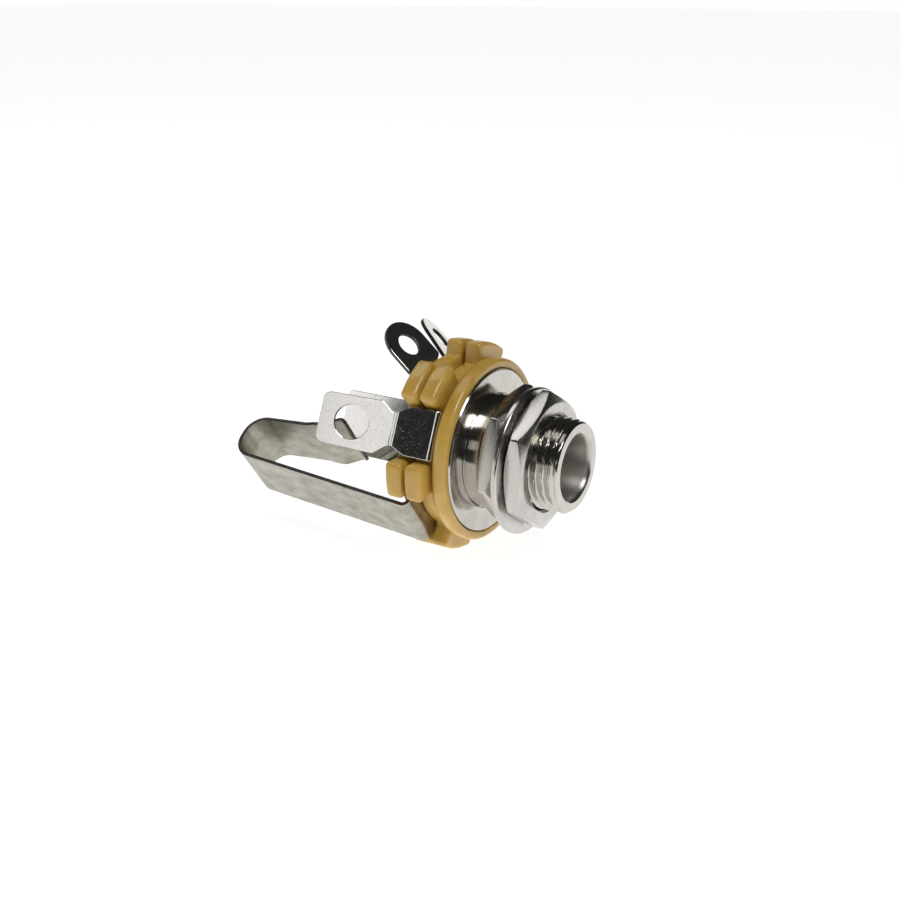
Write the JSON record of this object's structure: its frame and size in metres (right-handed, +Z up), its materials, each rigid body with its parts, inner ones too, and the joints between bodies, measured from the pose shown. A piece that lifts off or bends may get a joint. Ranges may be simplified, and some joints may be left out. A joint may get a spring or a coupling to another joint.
{
  "type": "quarter inch phone jack",
  "caption": "Open-frame panel jack for a quarter inch plug: threaded bushing with nuts and washer, amber insulators, contact fingers, tip spring and solder lugs.",
  "frame": {"origin": "on the plug's axis, in the front face of the bushing's flange", "axes": "+X along the plug's axis, out of the plug entry; +Z up as the picture shows it lying"},
  "size_m": [0.037, 0.0218, 0.0231],
  "materials": {
    "nickel_plate": "bright nickel plate over turned brass",
    "nut_plate": "bright nickel plate",
    "bright_sheet": "bright plated sheet",
    "satin_spring": "satin rolled spring strip",
    "amber_plastic": "moulded plastic, slightly waxy"
  },
  "bodies": {
    "body": {"bushing": "nickel_plate", "rear_nut": "nut_plate", "front_insulator": "amber_plastic", "sleeve_contact": "bright_sheet", "front_wafer": "amber_plastic", "tip_terminal": "satin_spring", "rear_wafer": "amber_plastic", "sleeve_lug": "bright_sheet"},
    "washer": {"flat_washer": "nut_plate"},
    "nut": {"front_nut": "nut_plate"},
    "near_blade": {"near_finger": "bright_sheet"},
    "far_blade": {"far_finger": "bright_sheet"},
    "tip_blade": {"tip_spring": "satin_spring"}
  },
  "joints": [
    {"name": "washer_slide", "type": "slide", "parent": "body", "child": "washer", "axis": [1, 0, 0], "range_m": [0, 0.00397]},
    {"name": "front_nut_spin", "type": "hinge", "parent": "washer", "child": "nut", "pos_m": [0.006, 0, 0], "axis": [1, 0, 0], "range_deg": [0, 1800]},
    {"name": "near_finger_flex", "type": "hinge", "parent": "body", "child": "near_blade", "pos_m": [-0.00264, -0.00836, 0.00372], "axis": [0, 0.4067, 0.9135], "range_deg": [0, 4], "stiffness_Nm_per_rad": 0.05},
    {"name": "far_finger_flex", "type": "hinge", "parent": "body", "child": "far_blade", "pos_m": [-0.00264, 0.00836, -0.00372], "axis": [0, -0.4067, -0.9135], "range_deg": [0, 4], "stiffness_Nm_per_rad": 0.05},
    {"name": "tip_spring_flex", "type": "hinge", "parent": "body", "child": "tip_blade", "pos_m": [-0.0273, -0.00513, -0.00372], "axis": [0, 0.5878, -0.809], "range_deg": [0, 6.5], "stiffness_Nm_per_rad": 0.05}
  ],
  "couplings": [
    {"joint": "front_nut_spin", "follows": "washer_slide", "rad_per_m": 7915.8}
  ]
}
